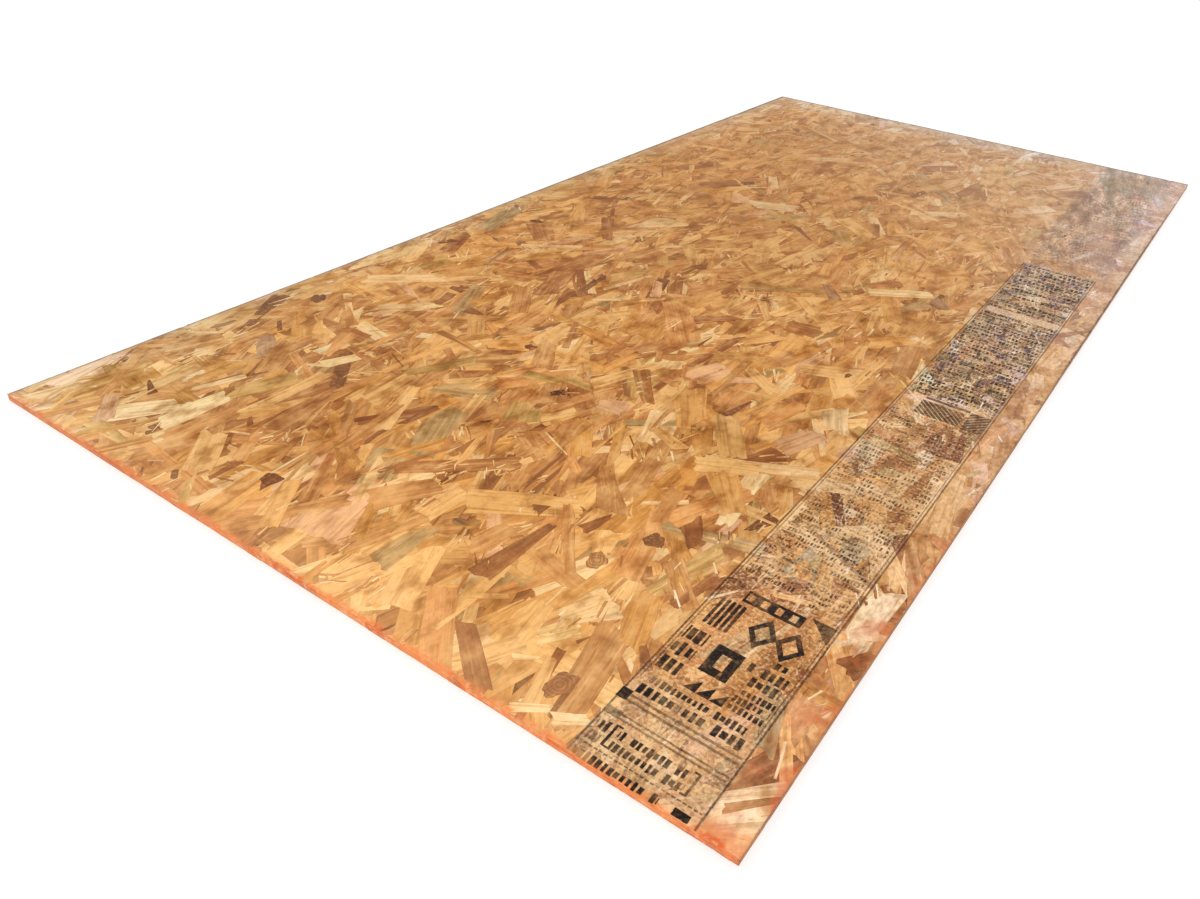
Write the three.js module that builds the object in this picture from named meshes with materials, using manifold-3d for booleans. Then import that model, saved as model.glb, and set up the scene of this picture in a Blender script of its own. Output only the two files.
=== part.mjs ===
// A sheathing panel of oriented strand board: wood strands, wax and resin, laid in crossed
// layers, pressed hot into one sheet and sawn square to 4 ft by 8 ft by 7/16 in.
//
// Millimetres, +Z up. The origin is the middle of the underside. +Y runs along the panel, the
// way the face strands mostly lie, and +X runs across it. The panel lies flat.
//
// The sheet is one solid: its sawn outline with softened corners and arrises, the pockets that
// the saw opens in the core where strands bridge one another, and the chips where a face strand
// broke away at the edge.

import * as THREE from 'three';
import { mergeVertices } from 'three/addons/utils/BufferGeometryUtils.js';
import Module from 'manifold-3d';

// ---- Driving dimensions ----

const PANEL_WIDTH = 1219.2;       // across the panel, 4 ft
const PANEL_LENGTH = 2438.4;      // along the panel, 8 ft
const PANEL_THICKNESS = 11.1;     // 7/16 in

const CORNER_RADIUS = 2;          // corners blunted by handling, seen from above
const ARRIS_EASE = 0.4;           // long edges of the saw cut, rubbed down
const ARRIS_STEPS = 2;
const CORNER_STEPS = 6;

// Pockets in the sawn edges: flat lens-shaped gaps between the strands of the core
const POCKET_PITCH = 150;         // mean distance between two pockets
const POCKET_WANDER = 0.7;        // how far one strays from its place, as a share of the pitch
const POCKET_LENGTH = [9, 30];    // along the edge
const POCKET_HEIGHT = [0.8, 1.7];
const POCKET_DEPTH = [3, 9];      // into the board
const POCKET_LEVEL = [2.6, 8.5];  // height of its middle above the underside
const POCKET_TAPER = 0.45;        // size of its blind end against its mouth
const POCKET_CLEARANCE = 40;      // kept free of pockets at each end of an edge
const POCKET_SEED = 19;

// Chips in the face strands at the edge: [place along the edge, length along it, reach inwards].
// Places are measured from the middle of the edge, along +X or +Y.
const CHIP_DEPTH = 0.8;           // the thickness of one face strand
const CHIP_TEETH = 4;             // points of the splintered inner end
const CHIP_TOOTH = 0.45;          // how deep its teeth are, as a share of the reach
const TOP_CHIPS = {
  near: [[-498, 18, 5], [-236, 26, 6], [-61, 15, 4], [187, 22, 7], [402, 17, 4], [546, 14, 7]],
  far: [[-433, 24, 6], [-120, 17, 4], [268, 28, 7], [501, 14, 4]],
  left: [[-1050, 30, 4], [-702, 44, 5], [-215, 26, 4], [330, 52, 5], [815, 34, 4]],
  right: [[-1118, 38, 4], [-640, 46, 5], [-96, 31, 4], [477, 40, 5], [1012, 28, 4]],
};
const UNDERSIDE_CHIPS = {
  near: [[-330, 23, 6], [92, 18, 5], [471, 26, 6]],
  far: [[-510, 16, 5], [35, 27, 6], [380, 20, 5]],
  left: [[-880, 40, 5], [60, 33, 4], [602, 48, 5]],
  right: [[-930, 35, 4], [-310, 50, 5], [720, 37, 4]],
};

const OVERCUT = 1;                // how far a cutter stands out of the surface it cuts

// ---- The four sawn edges ----

// Each edge turns a cutter that is drawn with +X along the edge and +Y into the board.
const EDGES = {
  near: { length: PANEL_WIDTH, turn: 0, place: [0, -PANEL_LENGTH / 2] },
  right: { length: PANEL_LENGTH, turn: Math.PI / 2, place: [PANEL_WIDTH / 2, 0] },
  far: { length: PANEL_WIDTH, turn: Math.PI, place: [0, PANEL_LENGTH / 2] },
  left: { length: PANEL_LENGTH, turn: -Math.PI / 2, place: [-PANEL_WIDTH / 2, 0] },
};

// Places are counted along +X or +Y, and the far and left edges are drawn the other way round.
const directionOf = (edgeName) => (edgeName === 'near' || edgeName === 'right' ? 1 : -1);

function ontoEdge(geometry, edgeName, along, level) {
  const edge = EDGES[edgeName];
  geometry.translate(along * directionOf(edgeName), 0, level);
  geometry.rotateZ(edge.turn);
  geometry.translate(edge.place[0], edge.place[1], 0);
  return geometry;
}

// ---- Even random numbers, the same each time ----

function randomNumbers(seed) {
  let state = seed;
  return () => {
    state = (state * 1664525 + 1013904223) % 4294967296;
    return state / 4294967296;
  };
}

const between = (random, [low, high]) => low + (high - low) * random();

// ---- The sheet ----

function panelOutline() {
  const x = PANEL_WIDTH / 2;
  const y = PANEL_LENGTH / 2;
  const r = CORNER_RADIUS;
  const quarter = Math.PI / 2;
  const outline = new THREE.Shape();
  outline.moveTo(-x + r, -y);
  outline.lineTo(x - r, -y);
  outline.absarc(x - r, -y + r, r, -quarter, 0, false);
  outline.lineTo(x, y - r);
  outline.absarc(x - r, y - r, r, 0, quarter, false);
  outline.lineTo(-x + r, y);
  outline.absarc(-x + r, y - r, r, quarter, 2 * quarter, false);
  outline.lineTo(-x, -y + r);
  outline.absarc(-x + r, -y + r, r, 2 * quarter, 3 * quarter, false);
  return outline;
}

function sawnSheet() {
  const sheet = new THREE.ExtrudeGeometry(panelOutline(), {
    depth: PANEL_THICKNESS - 2 * ARRIS_EASE,
    curveSegments: CORNER_STEPS,
    bevelEnabled: true,
    bevelThickness: ARRIS_EASE,
    bevelSize: ARRIS_EASE,
    bevelOffset: -ARRIS_EASE,
    bevelSegments: ARRIS_STEPS,
  });
  return sheet.translate(0, 0, ARRIS_EASE);
}

// ---- What is missing from its edges ----

// A lens with pointed ends, lofted from its mouth at the edge to a smaller blind end.
function pocketCutter(length, height, depth) {
  const lens = new THREE.Shape();
  lens.moveTo(-length / 2, 0);
  lens.quadraticCurveTo(length / 8, -height, length / 2, 0);
  lens.quadraticCurveTo(-length / 8, height, -length / 2, 0);
  const cutter = new THREE.ExtrudeGeometry(lens, {
    depth: depth + OVERCUT,
    curveSegments: 4,
    bevelEnabled: false,
  });
  const point = cutter.attributes.position;
  for (let i = 0; i < point.count; i += 1) {
    if (point.getZ(i) > OVERCUT) {
      point.setXY(i, point.getX(i) * POCKET_TAPER, point.getY(i) * POCKET_TAPER);
    }
  }
  cutter.rotateX(-Math.PI / 2);
  return cutter.translate(0, -OVERCUT, 0);
}

function edgePockets() {
  const random = randomNumbers(POCKET_SEED);
  const cutters = [];
  for (const [edgeName, edge] of Object.entries(EDGES)) {
    const run = edge.length - 2 * POCKET_CLEARANCE;
    const count = Math.round(run / POCKET_PITCH);
    for (let i = 0; i < count; i += 1) {
      const stray = (random() - 0.5) * POCKET_WANDER;
      const along = ((i + 0.5 + stray) / count - 0.5) * run;
      const cutter = pocketCutter(
        between(random, POCKET_LENGTH),
        between(random, POCKET_HEIGHT),
        between(random, POCKET_DEPTH),
      );
      cutters.push(ontoEdge(cutter, edgeName, along, between(random, POCKET_LEVEL)));
    }
  }
  return cutters;
}

// A shallow bite out of the face, as long as the lost piece of strand, with a splintered end.
function chipCutter(length, reach) {
  const bite = new THREE.Shape();
  bite.moveTo(-length / 2, -OVERCUT);
  bite.lineTo(length / 2, -OVERCUT);
  bite.lineTo(length / 2, reach * (1 - CHIP_TOOTH));
  for (let tooth = CHIP_TEETH; tooth >= 1; tooth -= 1) {
    const along = ((tooth - 0.5) / CHIP_TEETH - 0.5) * length;
    bite.lineTo(along, tooth % 2 ? reach : reach * (1 - CHIP_TOOTH * 0.6));
  }
  bite.lineTo(-length / 2, reach * (1 - CHIP_TOOTH));
  bite.closePath();
  return new THREE.ExtrudeGeometry(bite, { depth: CHIP_DEPTH + OVERCUT, bevelEnabled: false });
}

function faceChips(chips, level) {
  const cutters = [];
  for (const [edgeName, list] of Object.entries(chips)) {
    for (const [along, length, reach] of list) {
      cutters.push(ontoEdge(chipCutter(length, reach), edgeName, along, level));
    }
  }
  return cutters;
}

// ---- Cutting ----

const wasm = await Module();
wasm.setup();

function solidOf(geometry) {
  const bare = geometry.clone();
  bare.deleteAttribute('normal');
  bare.deleteAttribute('uv');
  const merged = mergeVertices(bare, 1e-4);
  return new wasm.Manifold(new wasm.Mesh({
    numProp: 3,
    vertProperties: new Float32Array(merged.attributes.position.array),
    triVerts: new Uint32Array(merged.index.array),
  }));
}

function geometryOf(solid) {
  const mesh = solid.getMesh();
  const geometry = new THREE.BufferGeometry();
  geometry.setAttribute('position', new THREE.BufferAttribute(mesh.vertProperties, mesh.numProp));
  geometry.setIndex(new THREE.BufferAttribute(mesh.triVerts, 1));
  geometry.computeVertexNormals();
  return geometry;
}

let sheet = solidOf(sawnSheet());
const losses = [
  ...edgePockets(),
  ...faceChips(TOP_CHIPS, PANEL_THICKNESS - CHIP_DEPTH),
  ...faceChips(UNDERSIDE_CHIPS, -OVERCUT),
];
for (const cutter of losses) {
  sheet = sheet.subtract(solidOf(cutter));
}

// ---- The part ----

const strandBoard = new THREE.MeshStandardMaterial({
  color: '#c89a5e',
  roughness: 0.75,
  metalness: 0,
});

const osbPanel = new THREE.Mesh(geometryOf(sheet), strandBoard);
osbPanel.name = 'osb_panel';

const part = new THREE.Group();
part.add(osbPanel);

export default part;
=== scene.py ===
import math
from itertools import chain

import bpy
import mathutils
import numpy as np
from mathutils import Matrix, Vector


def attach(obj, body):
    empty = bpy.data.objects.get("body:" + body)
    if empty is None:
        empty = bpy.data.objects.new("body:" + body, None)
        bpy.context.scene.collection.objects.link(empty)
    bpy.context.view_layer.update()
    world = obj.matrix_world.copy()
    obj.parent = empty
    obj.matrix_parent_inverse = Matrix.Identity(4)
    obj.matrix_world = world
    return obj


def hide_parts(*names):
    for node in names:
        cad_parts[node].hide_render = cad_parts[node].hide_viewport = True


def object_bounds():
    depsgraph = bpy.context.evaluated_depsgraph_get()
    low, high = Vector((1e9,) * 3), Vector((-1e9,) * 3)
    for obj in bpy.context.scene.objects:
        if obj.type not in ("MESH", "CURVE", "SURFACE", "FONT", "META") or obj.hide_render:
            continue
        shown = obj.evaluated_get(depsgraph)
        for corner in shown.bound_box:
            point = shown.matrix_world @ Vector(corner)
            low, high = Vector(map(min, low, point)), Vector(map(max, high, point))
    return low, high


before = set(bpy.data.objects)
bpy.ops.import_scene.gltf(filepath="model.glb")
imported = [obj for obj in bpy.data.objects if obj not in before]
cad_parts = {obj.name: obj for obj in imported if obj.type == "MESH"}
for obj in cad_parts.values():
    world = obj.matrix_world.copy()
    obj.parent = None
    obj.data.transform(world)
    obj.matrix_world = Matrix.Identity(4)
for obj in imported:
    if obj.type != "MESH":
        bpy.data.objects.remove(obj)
cad_box = [list(corner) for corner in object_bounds()]

# ---- The core -------------------------------------------------------------------------------
# The middle of the board: short wafers laid across it, soaked in resin and pressed hard. It is
# covered on all sides, and shows only as dark hollows between the wafers of the faces and edges.

MM = 0.001                      # lengths here are millimetres, and meshes are metres
half_x, half_y, thickness = (reach / MM for reach in cad_box[1])
FACE_DEPTH = 1.2                # from a face down to the core
EDGE_DEPTH = 1.3                # from a sawn edge in to the core
CORE_CELLS = 40, 80             # across and along the panel
CORE_WAVE = 0.12
CORE_SEED = 3


class Wire:
    """An output of a shader node. Sums and products of wires add the Math nodes for them."""

    def __init__(self, tree, socket=None):
        self.tree = tree
        self.socket = socket

    def node(self, kind, settings, inputs, output=0):
        """Adds a node, its settings first and its inputs after, and gives one of its outputs."""
        made = self.tree.nodes.new("ShaderNode" + kind)
        for name, value in settings.items():
            setattr(made, name, value)
        for name, value in inputs.items():
            if isinstance(value, Wire):
                self.tree.links.new(value.socket, made.inputs[name])
            else:
                made.inputs[name].default_value = value
        return Wire(self.tree, made.outputs[output])

    def math(self, operation, *others):
        return self.node("Math", {"operation": operation}, dict(enumerate((self, *others))))

    def __add__(self, other):
        return self.math("ADD", other)

    def __sub__(self, other):
        return self.math("SUBTRACT", other)

    def __mul__(self, other):
        return self.math("MULTIPLY", other)

    def __truediv__(self, other):
        return self.math("DIVIDE", other)

    def __rsub__(self, other):
        return self.math("MULTIPLY", -1.0).math("ADD", other)

    __radd__ = __add__
    __rmul__ = __mul__

    def part(self, index):
        """One number of a vector."""
        return self.node("SeparateXYZ", {}, {0: self}, index)

    def ramp(self, zero_at, one_at):
        """Rises softly from 0 to 1 between two values, the first of which may be the larger."""
        settings = {"interpolation_type": "SMOOTHSTEP", "clamp": False}
        inputs = {"Value": self, "From Min": zero_at, "From Max": one_at}
        return self.node("MapRange", settings, inputs)

    def tint(self, colour, mask, how="MIX"):
        """This colour with another, a wire or a hex code, over it where the mask is 1."""
        if isinstance(colour, str):
            colour = paint(colour)
        settings = {"data_type": "RGBA", "blend_type": how}
        return self.node("Mix", settings, {0: mask, 6: self, 7: colour}, 2)

    def between(self, low, high):
        """The colour this far from one hex code to another."""
        inputs = {0: self, 6: paint(low), 7: paint(high)}
        return self.node("Mix", {"data_type": "RGBA"}, inputs, 2)

    def dim(self, factor):
        """This colour, darker or brighter."""
        settings = {"data_type": "RGBA", "clamp_factor": False}
        return self.node("Mix", settings, {0: factor, 6: (0.0, 0.0, 0.0, 1.0), 7: self}, 2)

    def noise(self, scale, detail=2.0):
        """Noise at this place, with about this many cells to the unit."""
        inputs = {"Vector": self, "Scale": scale, "Detail": detail, "Roughness": 0.6}
        return self.node("TexNoise", {}, inputs)

    def draws(self):
        """Three even random numbers for each whole number."""
        colour = self.node("TexWhiteNoise", {"noise_dimensions": "1D"}, {"W": self}, 1)
        return [self.node("SeparateColor", {}, {0: colour}, i) for i in range(3)]

    def vector(self, x, y, z):
        return self.node("CombineXYZ", {}, {0: x, 1: y, 2: z})

    def away(self, across, along):
        """Distance from a middle, given the distances across and along."""
        place = self.vector(across, along, 0.0)
        return self.node("VectorMath", {"operation": "LENGTH"}, {0: place}, 1)


def paint(code):
    """A hex colour as Blender's linear numbers, with alpha."""
    parts = [int(code[i:i + 2], 16) / 255 for i in (1, 3, 5)]
    return tuple(((c + 0.055) / 1.055) ** 2.4 if c > 0.04 else c / 12.92 for c in parts) + (1.0,)


def bare_material(name):
    """A new material, its shader, and a wire to start its nodes from."""
    material = bpy.data.materials.new(name)
    material.use_nodes = True
    tree = material.node_tree
    return material, tree.nodes["Principled BSDF"], Wire(tree)


def plug(shader, **wires):
    for name, wire in wires.items():
        wire.tree.links.new(wire.socket, shader.inputs[name.replace("_", " ")])


def resin_soaked_wood():
    material, shader, start = bare_material("resin_soaked_wood")
    spot = start.node("TexCoord", {}, {}, 3)
    stretched = start.node("VectorMath", {"operation": "MULTIPLY"}, {0: spot, 1: (30, 240, 240)})
    streak = stretched.noise(1.0, 3.0)
    colour = streak.ramp(0.3, 0.7).between("#7d5128", "#a97742")
    bump = start.node("Bump", {}, {"Height": streak * 0.0002, "Distance": 1.0})
    plug(shader, Base_Color=colour, Roughness=0.75 + streak * 0.15, Normal=bump)
    return material


def add_piece(name, points, faces, material):
    """A mesh of the panel, from points in millimetres."""
    mesh = bpy.data.meshes.new(name)
    mesh.from_pydata([tuple(point) for point in np.asarray(points) * MM], [], faces)
    mesh.materials.append(material)
    piece = bpy.data.objects.new(name, mesh)
    bpy.context.scene.collection.objects.link(piece)
    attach(piece, "root")
    return piece


def core_slab():
    """A slab whose two broad sides are a little uneven."""
    draw = np.random.default_rng(CORE_SEED)
    columns, rows = CORE_CELLS
    xs = np.linspace(-1, 1, columns + 1) * (half_x - EDGE_DEPTH)
    ys = np.linspace(-1, 1, rows + 1) * (half_y - EDGE_DEPTH)
    points = []
    for level in (FACE_DEPTH, thickness - FACE_DEPTH):
        wave = draw.uniform(-CORE_WAVE, CORE_WAVE, (columns + 1, rows + 1))
        points += [(x, y, level + wave[i, j]) for i, x in enumerate(xs) for j, y in enumerate(ys)]
    side = (columns + 1) * (rows + 1)

    def at(i, j, upper):
        return i * (rows + 1) + j + upper * side

    faces = []
    for i in range(columns):
        for j in range(rows):
            faces.append((at(i, j, 1), at(i + 1, j, 1), at(i + 1, j + 1, 1), at(i, j + 1, 1)))
            faces.append((at(i, j, 0), at(i, j + 1, 0), at(i + 1, j + 1, 0), at(i + 1, j, 0)))
    for i in range(columns):
        faces.append((at(i, 0, 0), at(i + 1, 0, 0), at(i + 1, 0, 1), at(i, 0, 1)))
        faces.append((at(i + 1, rows, 0), at(i, rows, 0), at(i, rows, 1), at(i + 1, rows, 1)))
    end = columns
    for j in range(rows):
        faces.append((at(end, j, 0), at(end, j + 1, 0), at(end, j + 1, 1), at(end, j, 1)))
        faces.append((at(0, j + 1, 0), at(0, j, 0), at(0, j, 1), at(0, j + 1, 1)))
    return points, faces


core = add_piece("core_board", *core_slab(), resin_soaked_wood())
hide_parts("osb_panel")

# ---- Face wafers: their wood ---------------------------------------------------------------
# Aspen and pine wafers, sliced along the grain. Each has its own colour. Fibres, growth rings and
# short dark pores run along it, painted shade darkens its rim, and hot resin has clouded it. A knot
# has its rings around its middle.

WOODS = {                       # colour, and its share of the wafers
    "honey": ("#e5a65c", 24),
    "amber": ("#d69150", 18),
    "straw": ("#f1b972", 16),
    "ochre": ("#d29044", 13),
    "tan": ("#ca8a4c", 11),
    "cream": ("#fbce92", 6),
    "rose": ("#e8ae7e", 2),
    "olive": ("#c69852", 3),
    "grey": ("#be9760", 2),
    "brown": ("#b27038", 4.5),
    "russet": ("#9c5a2a", 1.5),
    "bark": ("#7c4420", 0.4),
    "pale": ("#fcd9a6", 0),
    "mauve": ("#a0704f", 0),
    "knot": ("#572c18", 0),
}
WOOD_NAMES = list(WOODS)
WOOD_SHARES = np.array([share for _, share in WOODS.values()])


def wafer_wood(name, *coats, dents=None):
    """Wood whose mesh gives each wafer's colour, and the place along and across its grain."""
    material, shader, start = bare_material(name)
    grain = start.node("Attribute", {"attribute_name": "grain"}, {}, 1)
    own = start.node("Attribute", {"attribute_name": "wood"}, {}, 0)
    form = start.node("Attribute", {"attribute_name": "form"}, {}, 1)
    along, across, number = (grain.part(i) for i in range(3))
    rim, heart, ringed = (form.part(i) for i in range(3))

    def fibre(cells_along, cells_across, detail, shift=0.0):
        place = start.vector(along * cells_along, across * cells_across, number * 3.7 + shift)
        return place.noise(1.0, detail)

    fine = fibre(22, 800, 3)
    rings = fibre(5, 150, 2, 11)
    streak = fibre(9, 120, 3, 71)
    cloud = fibre(14, 40, 3, 23)
    pores = fibre(70, 1000, 1, 37)

    spot = start.node("TexCoord", {}, {}, 3)
    x, y, z = (spot.part(i) / MM for i in range(3))
    resin = start.vector(x, y * 0.7, 0.0).noise(0.028, 3)
    fleck = start.vector(x, y, 0.0).noise(0.17, 3)
    light_wood = own.part(0).ramp(0.12, 0.5)

    colour = own.dim(0.8 + fine * 0.38)
    colour = colour.tint("#f6bf7a", streak.ramp(0.5, 0.72) * 0.45 * light_wood)
    colour = colour.tint("#c48d5a", fleck.ramp(0.5, 0.66) * 0.6 * (1 - light_wood))
    colour = colour.tint("#c6b083", streak.ramp(0.5, 0.28) * 0.55, "MULTIPLY")
    colour = colour.tint("#d2be96", rings.ramp(0.54, 0.66) * 0.55, "MULTIPLY")
    colour = colour.tint("#ccb688", cloud.ramp(0.48, 0.72) * 0.6, "MULTIPLY")
    colour = colour.tint("#f7c784", cloud.ramp(0.44, 0.2) * 0.4 * light_wood)
    colour = colour.tint("#bd9f6c", resin.ramp(0.48, 0.7) * 0.8, "MULTIPLY")
    colour = colour.tint("#f6c07a", resin.ramp(0.5, 0.3) * 0.45 * light_wood)
    colour = colour.tint("#ab8a58", pores.ramp(0.64, 0.74) * 0.7, "MULTIPLY")
    colour = colour.tint("#8a5028", fibre(3, 60, 1, 51).ramp(0.5, 0.56) * heart)
    from_middle = start.away(along, across) / MM + cloud * 8 + streak * 6
    ring = (from_middle * 1.3).math("SINE").ramp(-0.7, 0.9)
    colour = colour.tint("#54311f", ring * ringed * 0.4)
    # painted shade along each wafer's rim, where it meets its neighbours
    colour = colour.tint("#9c784c", rim.ramp(0.9, 0.0) * 0.5, "MULTIPLY")
    rough = 0.64 + (cloud - 0.5) * 0.3 + (resin - 0.5) * 0.3
    for coat in coats:
        colour, rough = coat(colour, rough, x, y, z, fine)

    relief = fine * 0.00007 + rings * 0.00009 + cloud * 0.00006
    if dents:
        relief = relief + dents(x, y)
    bump = start.node("Bump", {}, {"Height": relief, "Distance": 1.0})
    plug(shader, Base_Color=colour, Roughness=rough, Normal=bump)
    shader.inputs["Specular IOR Level"].default_value = 0.17
    return material


# ---- Face wafers: weather, painted light and shade, print and sealer -------------------------
# The lower lying wafers are darkened with painted shade. A painted pool of light brightens the near
# end, painted shade darkens the middle, and a painted falloff of light makes the panel browner and
# greyer towards its far end. The mill prints a band of ink along the right side, which sinks in and
# wears away, and sprays the sawn edges with orange sealer, whose drift is thin enough to show the
# ink.

BAND_MIDDLE = 490.0             # middle of the printed band
BAND_HALF = 73.0                # from there to the rule along each side
BAND_LENGTH = 1568.0            # how far it runs from the near edge


def strip(value, middle, half, soft=0.8):
    """1 within half of the middle, and 0 past it."""
    return (value - middle).math("ABSOLUTE").ramp(half + soft / 2, half - soft / 2)


def box(across, along, left, right, low, high):
    inside = strip(across, (left + right) / 2, (right - left) / 2)
    return inside * strip(along, (low + high) / 2, (high - low) / 2)


def weathered(colour, rough, x, y, z, fine):
    # painted shade: the lower lying wafers are darker in the hollows between the higher ones
    deep = (z - thickness / 2).math("ABSOLUTE").ramp(thickness / 2 - 0.25, thickness / 2 - 1.25)
    colour = colour.tint("#ac7c44", deep * 0.75, "MULTIPLY")
    flat = x.vector(x, y, 0.0)
    colour = colour.tint("#e0d2b4", flat.noise(0.004, 3).ramp(0.45, 0.75) * 0.8, "MULTIPLY")
    # painted light: a pool of light that brightens the near end of the panel
    painted_light_pool = x.away((x - 240) / 520, (y + 1120) / 390).ramp(1.05, 0.35)
    colour = colour.dim(1 + painted_light_pool * 0.155)
    colour = colour.tint("#fdc884", painted_light_pool * (0.04 + fine * 0.08))
    # painted shade: the middle and far half of the panel are darker
    painted_middle_shade = x.away((x + 200) / 560, (y - 560) / 1050).ramp(1.15, 0.4)
    colour = colour.dim(1 - painted_middle_shade * 0.15)
    scuffed = x.away((x + 640) / 420, (y + 1180) / 620).ramp(1.05, 0.3)
    colour = colour.tint((1.06, 1.24, 1.5, 1.0), scuffed, "MULTIPLY")
    near_edge = (y + half_y).ramp(110, 20) * x.ramp(450, 250)
    colour = colour.tint((1.12, 1.14, 1.2, 1.0), near_edge, "MULTIPLY")
    colour = colour.tint("#ffcb92", near_edge * 0.14)
    # a painted falloff of light makes the far end browner and greyer; the wood is faded to a paler
    # brown here and there, and to a greyer one towards the right
    colour = colour.tint("#c98f55", y.ramp(-900, 800) * 0.3)
    hazy = x.away((x + 420) / 300, (y + 780) / 330).ramp(1.1, 0.4)
    colour = colour.tint("#c9925a", hazy * 0.15)
    # painted falloff of light: greyer towards the far end
    colour = colour.tint((1.04, 1.16, 1.55, 1.0), y.ramp(100, 1400), "MULTIPLY")
    colour = colour.tint((1.01, 1.16, 1.5, 1.0), (x * 1.6 + y).ramp(-100, 1900), "MULTIPLY")
    colour = colour.tint("#ceab8c", (x * 1.2 + y).ramp(200, 1700) * 0.24)
    colour = colour.tint((1.01, 1.06, 1.2, 1.0), x.ramp(300, 400), "MULTIPLY")
    margin = x.ramp(540, 580)
    colour = colour.tint((1.06, 1.08, 1.3, 1.0), margin, "MULTIPLY")
    colour = colour.tint((1.0, 1.1, 1.25, 1.0), margin * y.ramp(-950, -300), "MULTIPLY")
    colour = colour.tint("#d6ab88", margin * y.ramp(-950, -300) * 0.15)
    mottle = x.vector(x, y * 0.6, 0.0).noise(0.16, 3)
    colour = colour.dim(1 + (mottle - 0.5) * (0.4 + x.ramp(340, 460) * 0.4 + margin * 0.4))
    return colour, rough


def strokes(across, along, pitch, width, fill, least=0.2):
    """Rows of upright strokes, tall or short, wide or narrow, with gaps here and there."""
    row = (along / pitch).math("FLOOR")
    place = across / width + row * 71.3
    tall, wide, missing = place.math("FLOOR").draws()
    gap = (place / 7).math("FLOOR").draws()[0]
    from_row = ((along / pitch).math("FRACT") - 0.5).math("ABSOLUTE")
    from_stroke = (place.math("FRACT") - 0.5).math("ABSOLUTE")
    upright = (tall * 0.19 + least - from_row).ramp(-0.03, 0.03)
    stroke = (wide * 0.22 + 0.24 - from_stroke).ramp(-0.06, 0.06)
    return upright * stroke * missing.ramp(fill + 0.01, fill) * gap.ramp(0.07, 0.08)


def diamond(across, along, middle_across, middle_along, half):
    """A hollow diamond, taller than it is wide."""
    sideways = (across - middle_across).math("ABSOLUTE")
    return strip(sideways + (along - middle_along).math("ABSOLUTE") * 0.68, half, 4.0)


def pennants(across, along, left, low, width, height):
    """Three solid triangles in a row."""
    share = (across - left) / width
    point = (share.math("FRACT") - (along - low) / height).ramp(-0.03, 0.03)
    return point * box(across, along, left, left + 3 * width, low, low + height)


def stamped_block(across, along):
    """The first 320 mm of the band, one mark after another: its largest and blackest marks."""
    def area(left, right, low, high):
        return box(across, along, left, right, low, high)

    sideways = across.math("ABSOLUTE")
    # the row that the saw cut through, a blot, and the dashed rule after them
    yield strokes(across, along + 4, 18, 7, 0.95) * area(-71, 30, -5, 15)
    yield area(46, 64, 1, 10)
    dashes = strip((across / 6).math("FRACT"), 0.5, 0.36, 0.05)
    yield strip(along, 18, 1.0) * dashes * strip(across, 0, 70) * 0.7
    # two rows in brackets, and a block outside them
    yield strokes(across, along - 22, 15.5, 6.5, 0.95, 0.24) * area(-43, 38, 24, 53)
    bracket = sideways + across * 0.03
    yield strip(bracket, 48, 1.6) * strip(along, 39.5, 15)
    yield strip(bracket, 45, 3.5) * strip((along - 39.5).math("ABSOLUTE"), 14, 1.2)
    yield strokes(across, along - 20, 17, 6.5, 1.0, 0.26) * area(-69, -55, 21, 53)
    # rules across the band, with blots at their left ends
    for low, high in ((60, 62.8), (66, 68.4), (84, 87.5), (91.5, 95)):
        yield area(-73, 70, low, high) * 0.65
    yield area(-75, -62, 84, 99)
    yield area(-72, -54, 60, 70) * 0.7
    # two bold rows, then pennants and a hollow block between two crowded columns
    yield strokes(across, along - 98, 18, 9, 0.97, 0.27) * area(-62, 64, 98, 116)
    yield strokes(across, along - 117, 14, 6.5, 0.95, 0.25) * area(-60, 56, 117, 131)
    yield pennants(across, along, -27, 136, 16, 18)
    yield area(-26, 8, 166, 212) - area(-15, -3, 178, 200)
    yield strokes(across, along - 139, 27, 9.5, 1.0, 0.27) * area(-66, -39, 140, 222)
    yield strokes(across, along - 137, 12, 6, 0.97, 0.25) * area(24, 66, 137, 173)
    yield strokes(across, along - 176, 18, 8.5, 0.95, 0.25) * area(16, 62, 176, 230)
    # two diamonds and a group of bars
    yield diamond(across, along, 5, 254, 14)
    yield diamond(across, along, 39, 254, 14)
    bars = strip((across / 6.8).math("FRACT"), 0.5, 0.31, 0.1)
    yield bars * area(-60, -26, 230, 280)
    # four empty boxes between two corner marks
    holes = strip((across / 18.5).math("FRACT"), 0.16, 0.28, 0.06) * strip(along, 297.5, 6)
    yield area(-40, 34, 287, 308) * (1 - holes)
    slope = (across - 70 + (along - 312)).math("ABSOLUTE")
    yield slope.ramp(32, 30) * area(36, 70, 283, 312)
    yield strokes(across, along - 303, 17, 6, 1.0) * area(-73, -48, 304, 320)


def rolled_rows(across, along):
    """The rest of the band: rows of small marks, fine ones first and then crowded ones."""
    yield strokes(across, along, 11.5, 4.4, 0.85) * box(across, along, -64, 64, 324, 552)
    yield strokes(across, along, 12.5, 5, 0.88) * box(across, along, -66, 66, 566, 820)
    yield strokes(across, along, 14, 6.5, 0.92) * box(across, along, -68, 68, 888, 1274)
    yield strokes(across, along, 18, 9, 0.92) * box(across, along, -68, 68, 1302, BAND_LENGTH)
    # a second pass of the roller, faint
    second = box(across, along, -58, 70, BAND_LENGTH + 140, 2420)
    yield strokes(across, along, 21, 7, 0.8) * second * 0.5


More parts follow.
